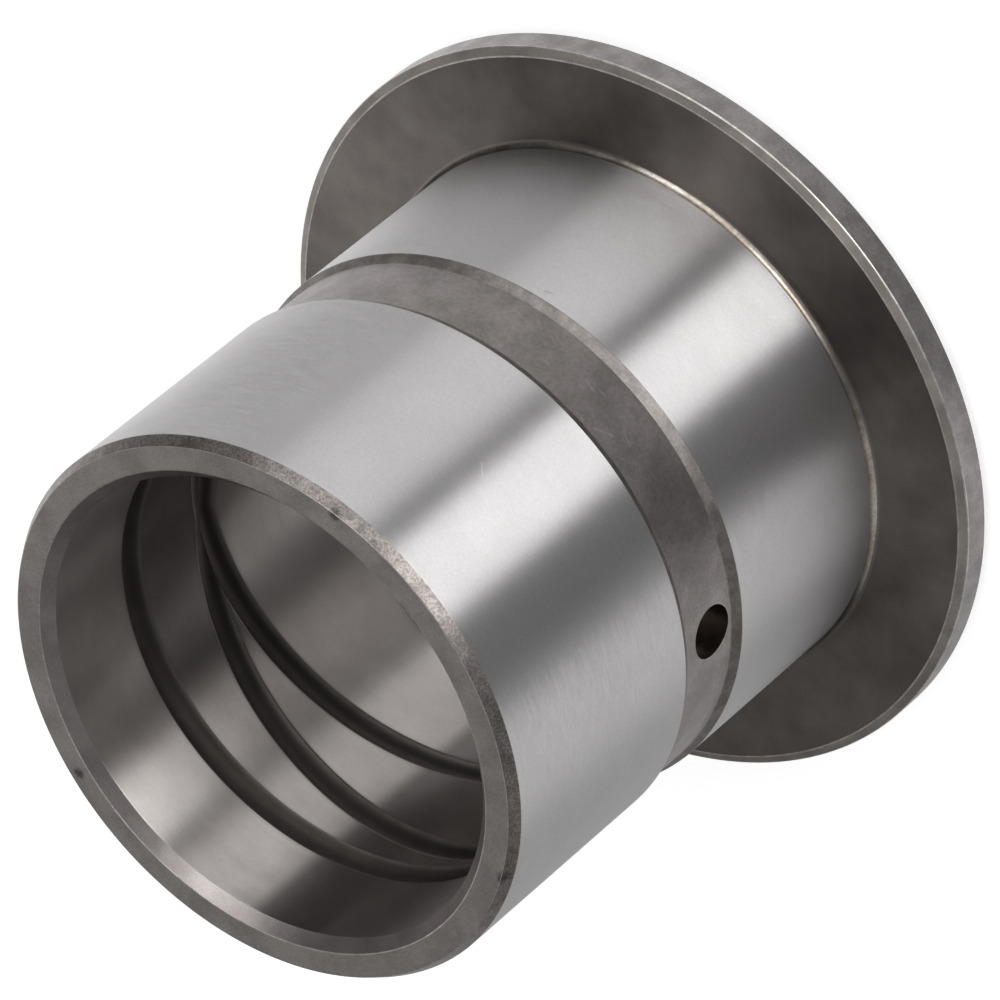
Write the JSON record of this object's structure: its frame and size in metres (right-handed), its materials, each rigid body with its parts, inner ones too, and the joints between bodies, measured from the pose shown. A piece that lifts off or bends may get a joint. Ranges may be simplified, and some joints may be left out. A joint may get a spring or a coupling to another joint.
{
  "type": "flanged bushing",
  "caption": "Flanged hardened steel bushing with a wide supply groove, a radial oil hole and crossing helical grease grooves in its bore.",
  "frame": {"origin": "centre of the flange's back face, which the bushing stands on", "axes": "+Z along the bore axis towards the open end, +X through the radial oil hole"},
  "size_m": [0.136, 0.136, 0.11],
  "materials": {
    "steel": "ground and turned steel, satin on the lands, matt in the grooves and on the flange"
  },
  "bodies": {
    "root": {"bushing": "steel"}
  },
  "joints": []
}
